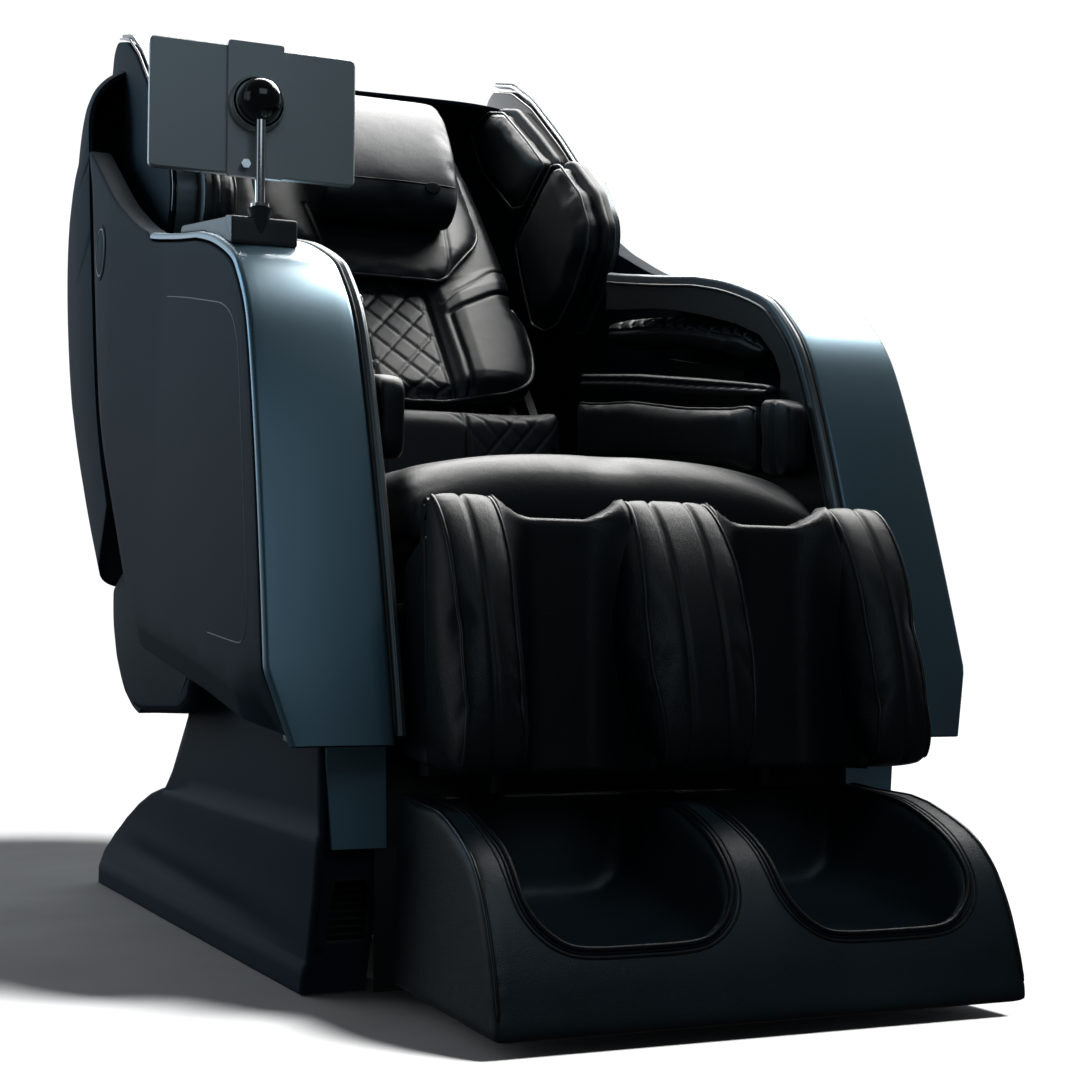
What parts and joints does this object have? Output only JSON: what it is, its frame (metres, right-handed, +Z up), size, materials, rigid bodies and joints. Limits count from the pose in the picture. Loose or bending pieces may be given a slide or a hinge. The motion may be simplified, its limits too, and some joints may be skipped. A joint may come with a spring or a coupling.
{
  "type": "massage chair",
  "caption": "Reclining massage armchair with padded foot wells, curved arm tunnels, shoulder wings and a tablet on a stalk.",
  "frame": {"origin": "on the floor, middle of the base frame, under the centre beam", "axes": "+X to the right seen from the front, -Y out of the front (where the sitter's feet are), +Z up"},
  "size_m": [0.791, 1.5286, 1.2148],
  "materials": {
    "shell_plastic": "moulded, fine grain",
    "panel_blue": "satin metallic blue-grey paint",
    "leather": "fine-grained synthetic leather, near black",
    "dark_plastic": "moulded, matte",
    "gloss_black": "high gloss",
    "frame_steel": "powder coated",
    "chrome": "polished",
    "tablet_slate": "satin slate blue",
    "rubber": "moulded"
  },
  "bodies": {
    "base": {"base_frame": "frame_steel", "base_cover_right": "shell_plastic", "base_cover_left": "shell_plastic", "base_rear_cover": "shell_plastic", "base_front_insert_right": "panel_blue", "base_front_insert_left": "panel_blue", "power_box": "dark_plastic", "tilt_actuator": "dark_plastic"},
    "wheel_right": {"transport_wheel_right": "rubber"},
    "wheel_left": {"transport_wheel_left": "rubber"},
    "rocker_switch": {"power_switch": "gloss_black"},
    "tilt_piston": {"tilt_rod": "chrome"},
    "seat": {"seat_frame": "frame_steel", "seat_cushion": "leather", "belly_cover": "dark_plastic", "recline_actuator": "dark_plastic", "side_shell_right": "shell_plastic", "side_shell_left": "shell_plastic", "front_panel_right": "panel_blue", "front_panel_left": "panel_blue", "arm_liner_right": "dark_plastic", "arm_liner_left": "dark_plastic", "forearm_pad_right": "leather", "forearm_pad_left": "leather", "arm_airbag_right": "leather", "arm_airbag_left": "leather", "hip_pad_right": "leather", "hip_pad_left": "leather", "tablet_clamp": "dark_plastic"},
    "recline_piston": {"recline_rod": "chrome"},
    "backrest": {"back_frame": "frame_steel", "back_pad": "leather", "lower_back_pad": "leather", "head_pillow": "leather", "back_shell": "shell_plastic", "wing_shell_right": "gloss_black", "wing_shell_left": "gloss_black", "wing_upper_pad_right": "leather", "wing_upper_pad_left": "leather", "wing_lower_pad_right": "leather", "wing_lower_pad_left": "leather"},
    "carriage": {"massage_carriage": "dark_plastic"},
    "roller_upper_right": {"massage_roller_upper_right": "rubber"},
    "roller_upper_left": {"massage_roller_upper_left": "rubber"},
    "roller_lower_right": {"massage_roller_lower_right": "rubber"},
    "roller_lower_left": {"massage_roller_lower_left": "rubber"},
    "leg_rest": {"leg_frame": "frame_steel", "calf_bolster_right": "leather", "calf_bolster_left": "leather", "centre_bolster": "leather", "calf_pad": "leather"},
    "footwell": {"foot_housing": "leather", "foot_liner_right": "leather", "foot_liner_left": "leather", "foot_slide_frame": "chrome"},
    "sole_roller_right": {"foot_roller_right": "rubber"},
    "sole_roller_left": {"foot_roller_left": "rubber"},
    "tablet_pole": {"tablet_arm": "chrome"},
    "tablet_head": {"tablet": "tablet_slate", "tablet_bracket": "tablet_slate"}
  },
  "joints": [
    {"name": "seat_tilt", "type": "hinge", "parent": "base", "child": "seat", "pos_m": [0, 0.03, 0.45], "axis": [-1, 0, 0], "range_deg": [0, 15]},
    {"name": "tilt_piston_slide", "type": "slide", "parent": "base", "child": "tilt_piston", "axis": [0, -0.3499, 0.9368], "range_m": [0, 0.068]},
    {"name": "recline", "type": "hinge", "parent": "seat", "child": "backrest", "pos_m": [0, 0.03, 0.45], "axis": [-1, 0, 0], "range_deg": [0, 35]},
    {"name": "recline_piston_slide", "type": "slide", "parent": "seat", "child": "recline_piston", "axis": [0, -1, 0], "range_m": [0, 0.076]},
    {"name": "leg_raise", "type": "hinge", "parent": "seat", "child": "leg_rest", "pos_m": [0, -0.598, 0.44], "axis": [-1, 0, 0], "range_deg": [0, 75]},
    {"name": "foot_extension", "type": "slide", "parent": "leg_rest", "child": "footwell", "axis": [0, 0, -1], "range_m": [0, 0.1]},
    {"name": "carriage_climb", "type": "slide", "parent": "backrest", "child": "carriage", "axis": [0, 0.632, 0.7749], "range_m": [0, 0.33]},
    {"name": "roller_upper_right_spin", "type": "hinge", "parent": "carriage", "child": "roller_upper_right", "pos_m": [0.062, 0.2345, 0.7329], "axis": [1, 0, 0], "continuous": true},
    {"name": "roller_upper_left_spin", "type": "hinge", "parent": "carriage", "child": "roller_upper_left", "pos_m": [-0.062, 0.2345, 0.7329], "axis": [1, 0, 0], "continuous": true},
    {"name": "roller_lower_right_spin", "type": "hinge", "parent": "carriage", "child": "roller_lower_right", "pos_m": [0.062, 0.1763, 0.6616], "axis": [1, 0, 0], "continuous": true},
    {"name": "roller_lower_left_spin", "type": "hinge", "parent": "carriage", "child": "roller_lower_left", "pos_m": [-0.062, 0.1763, 0.6616], "axis": [1, 0, 0], "continuous": true},
    {"name": "sole_roller_right_spin", "type": "hinge", "parent": "footwell", "child": "sole_roller_right", "pos_m": [0.112, -0.7, 0.032], "axis": [1, 0, 0], "continuous": true},
    {"name": "wheel_right_spin", "type": "hinge", "parent": "base", "child": "wheel_right", "pos_m": [0.163, 0.5, 0.027], "axis": [1, 0, 0], "continuous": true},
    {"name": "sole_roller_left_spin", "type": "hinge", "parent": "footwell", "child": "sole_roller_left", "pos_m": [-0.112, -0.7, 0.032], "axis": [1, 0, 0], "continuous": true},
    {"name": "wheel_left_spin", "type": "hinge", "parent": "base", "child": "wheel_left", "pos_m": [-0.163, 0.5, 0.027], "axis": [1, 0, 0], "continuous": true},
    {"name": "switch_rock", "type": "hinge", "parent": "base", "child": "rocker_switch", "pos_m": [-0.166, 0.37, 0.102], "axis": [1, 0, 0], "range_deg": [0, 8]},
    {"name": "tablet_swivel", "type": "hinge", "parent": "seat", "child": "tablet_pole", "pos_m": [-0.318, -0.36, 0.8], "axis": [0, 0, 1], "range_deg": [-60, 60]},
    {"name": "tablet_nod", "type": "hinge", "parent": "tablet_pole", "child": "tablet_head", "pos_m": [-0.318, -0.36, 0.873], "axis": [1, 0, 0], "range_deg": [-4, 35]}
  ],
  "couplings": [
    {"joint": "tilt_piston_slide", "follows": "seat_tilt", "m_per_rad": 0.2446},
    {"joint": "recline_piston_slide", "follows": "recline", "m_per_rad": 0.118}
  ]
}
